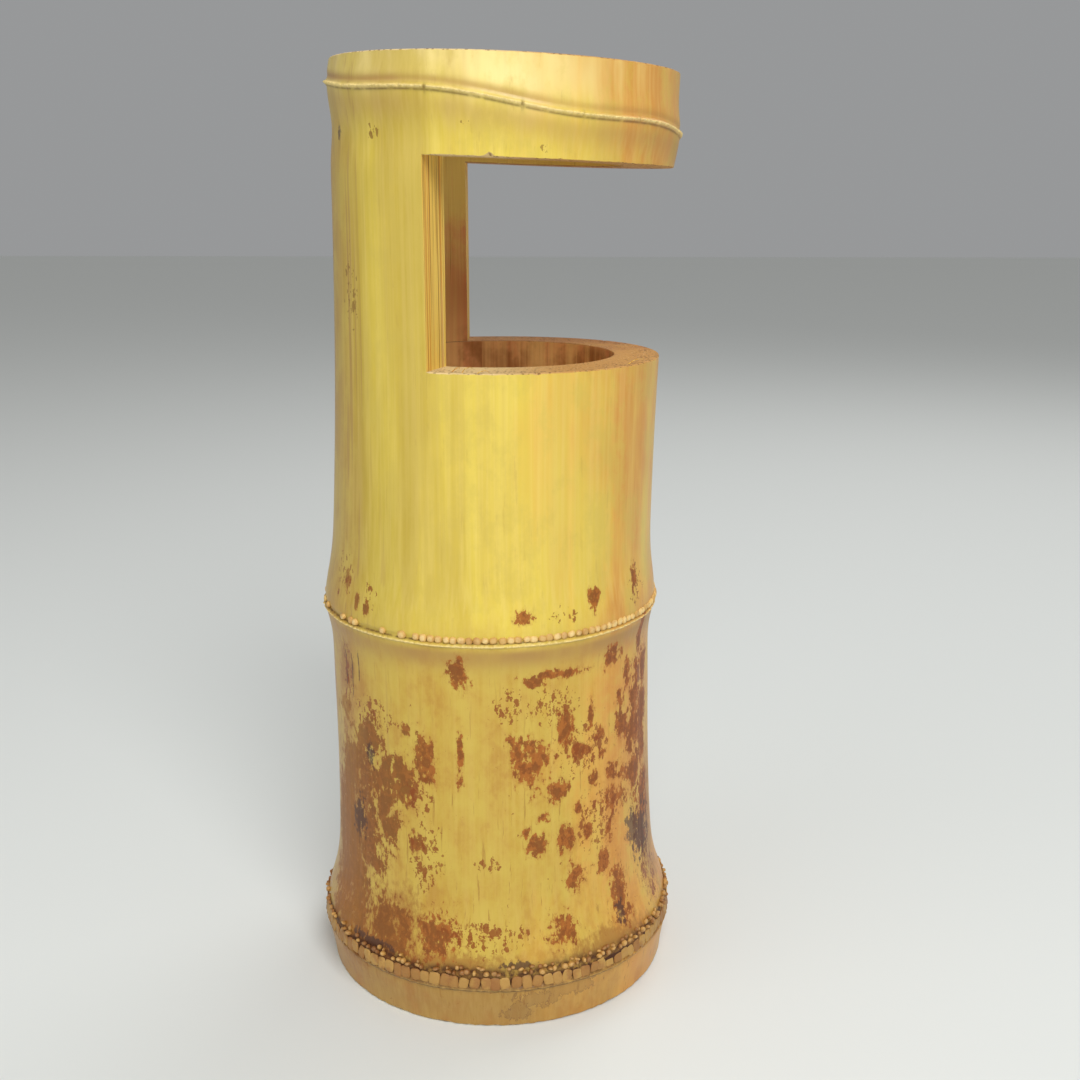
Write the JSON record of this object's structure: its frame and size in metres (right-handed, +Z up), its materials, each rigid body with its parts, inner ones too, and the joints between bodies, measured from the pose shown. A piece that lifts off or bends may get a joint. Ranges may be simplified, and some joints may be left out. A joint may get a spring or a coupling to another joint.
{
  "type": "bamboo vase",
  "caption": "Upright bamboo culm vase with a side window cut above its water cup, a hook hole in the back wall and a lift-out copper liner.",
  "frame": {"origin": "centre of the sawn foot on the ground, below the axis of the lowest node", "axes": "+Z up along the culm, -Y towards the open window, +Y towards the back wall with the hook hole"},
  "size_m": [0.1376, 0.1373, 0.3297],
  "materials": {
    "bamboo_bark": "aged yellow bark with red-brown stains, satin sheen",
    "bamboo_node": "yellow-brown node skin with a cream leaf scar",
    "bamboo_buds": "brown dried root buds",
    "bamboo_foot": "tan skin with a dark stain, sawn underside",
    "bamboo_pith": "dull tan inner skin",
    "aged_copper": "aged brown copper sheet",
    "copper_wire": "drawn copper wire"
  },
  "bodies": {
    "culm": {"foot_ring": "bamboo_foot", "foot_node": "bamboo_node", "foot_root_buds": "bamboo_buds", "foot_diaphragm": "bamboo_pith", "lower_internode": "bamboo_bark", "middle_node": "bamboo_node", "middle_root_buds": "bamboo_buds", "middle_diaphragm": "bamboo_pith", "cup_wall": "bamboo_bark", "back_wall": "bamboo_bark", "hood": "bamboo_bark", "top_node": "bamboo_node", "top_diaphragm": "bamboo_pith", "rim_ring": "bamboo_bark"},
    "liner": {"liner_wall": "aged_copper", "liner_rim_wire": "copper_wire", "liner_base": "aged_copper"}
  },
  "joints": [
    {"name": "liner_lift", "type": "slide", "parent": "culm", "child": "liner", "axis": [0, -0.0375, 0.9993], "range_m": [0, 0.0875]}
  ]
}
